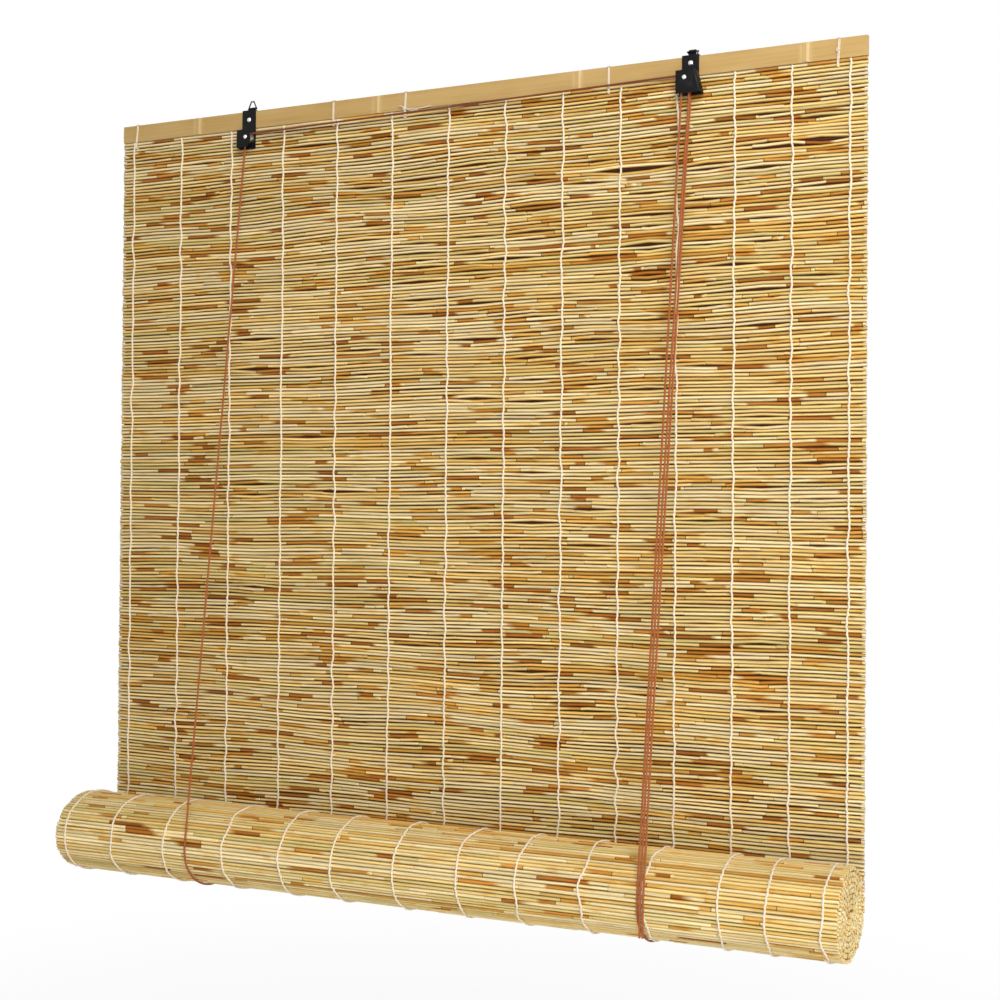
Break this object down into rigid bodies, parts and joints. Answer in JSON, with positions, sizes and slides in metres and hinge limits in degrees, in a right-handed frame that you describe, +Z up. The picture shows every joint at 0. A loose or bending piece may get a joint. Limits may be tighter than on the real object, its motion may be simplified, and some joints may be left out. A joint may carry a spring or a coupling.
{
  "type": "reed roll-up blind",
  "caption": "Wide reed mat on a bamboo batten, part rolled up at the bottom in two cord slings, with black hanging brackets, pulleys and a cord lock.",
  "frame": {"origin": "middle of the head batten's top edge, on its front face", "axes": "+X to the right along the batten, +Y back to the wall, +Z up"},
  "size_m": [1, 0.136, 0.9964],
  "materials": {
    "reed": "dry peeled reeds, satin",
    "bamboo": "split bamboo, satin skin",
    "twine": "twisted off-white twine",
    "cord": "laid rust-brown cord",
    "black_steel": "black lacquered steel",
    "bright_steel": "bright zinc"
  },
  "bodies": {
    "head": {"head_batten": "bamboo", "reed_sheet": "reed", "batten_tie_1": "twine", "batten_tie_2": "twine", "batten_tie_3": "twine", "batten_tie_4": "twine", "batten_tie_5": "twine", "sheet_warp_01": "twine", "sheet_warp_02": "twine", "sheet_warp_03": "twine", "sheet_warp_04": "twine", "sheet_warp_05": "twine", "sheet_warp_06": "twine", "sheet_warp_07": "twine", "sheet_warp_08": "twine", "sheet_warp_09": "twine", "sheet_warp_10": "twine", "sheet_warp_11": "twine", "sheet_warp_12": "twine", "sheet_warp_13": "twine", "sheet_warp_14": "twine", "left_bracket": "black_steel", "left_rivet": "bright_steel", "left_axle": "bright_steel", "lock_bracket": "black_steel", "lock_rivet": "bright_steel", "lock_axle": "bright_steel", "lock_cam_pin": "black_steel", "left_front_cord": "cord", "left_back_cord": "cord", "left_knot": "cord", "head_cord": "cord", "right_front_cord": "cord", "right_back_cord": "cord", "right_knot": "cord", "left_pull_cord": "cord", "right_pull_cord": "cord"},
    "slings": {"left_sling": "cord", "right_sling": "cord"},
    "roll": {"reed_roll": "reed", "roll_warp_01": "twine", "roll_warp_02": "twine", "roll_warp_03": "twine", "roll_warp_04": "twine", "roll_warp_05": "twine", "roll_warp_06": "twine", "roll_warp_07": "twine", "roll_warp_08": "twine", "roll_warp_09": "twine", "roll_warp_10": "twine", "roll_warp_11": "twine", "roll_warp_12": "twine", "roll_warp_13": "twine", "roll_warp_14": "twine"},
    "left_pulley": {"left_pulley": "bright_steel"},
    "lock_pulley": {"lock_pulley": "bright_steel"},
    "lock_cam": {"lock_cam": "black_steel"},
    "left_ring": {"left_ring": "black_steel"},
    "right_ring": {"right_ring": "black_steel"}
  },
  "joints": [
    {"name": "roll_lift", "type": "slide", "parent": "head", "child": "slings", "axis": [0, 0, 1], "range_m": [0, 0.8], "deforming": ["reed_sheet", "sheet_warp_01", "sheet_warp_02", "sheet_warp_03", "sheet_warp_04", "sheet_warp_05", "sheet_warp_06", "sheet_warp_07", "sheet_warp_08", "sheet_warp_09", "sheet_warp_10", "sheet_warp_11", "sheet_warp_12", "sheet_warp_13", "sheet_warp_14", "left_front_cord", "right_front_cord", "left_back_cord", "right_back_cord", "left_pull_cord", "right_pull_cord"]},
    {"name": "roll_turn", "type": "hinge", "parent": "slings", "child": "roll", "pos_m": [0, -0.05815, -0.928], "axis": [-1, 0, 0], "range_deg": [0, 720.5], "deforming": ["left_sling", "right_sling"]},
    {"name": "left_pulley_spin", "type": "hinge", "parent": "head", "child": "left_pulley", "pos_m": [-0.2945, -0.0068, -0.0355], "axis": [0, 1, 0], "continuous": true},
    {"name": "lock_pulley_spin", "type": "hinge", "parent": "head", "child": "lock_pulley", "pos_m": [0.297, -0.0068, -0.026], "axis": [0, 1, 0], "continuous": true},
    {"name": "lock_cam_swing", "type": "hinge", "parent": "head", "child": "lock_cam", "pos_m": [0.30815, -0.0068, -0.035], "axis": [0, -1, 0], "range_deg": [0, 40]},
    {"name": "left_ring_swing", "type": "hinge", "parent": "head", "child": "left_ring", "pos_m": [-0.297, 0.0068, 0.0046], "axis": [-1, 0, 0], "range_deg": [-90, 140]},
    {"name": "right_ring_swing", "type": "hinge", "parent": "head", "child": "right_ring", "pos_m": [0.3005, 0.0068, 0.0074], "axis": [1, 0, 0], "range_deg": [0, 230]}
  ],
  "couplings": [
    {"joint": "roll_turn", "follows": "roll_lift", "rad_per_m": 15.708},
    {"joint": "left_pulley_spin", "follows": "roll_lift", "rad_per_m": 444.44},
    {"joint": "lock_pulley_spin", "follows": "roll_lift", "rad_per_m": 444.44}
  ]
}
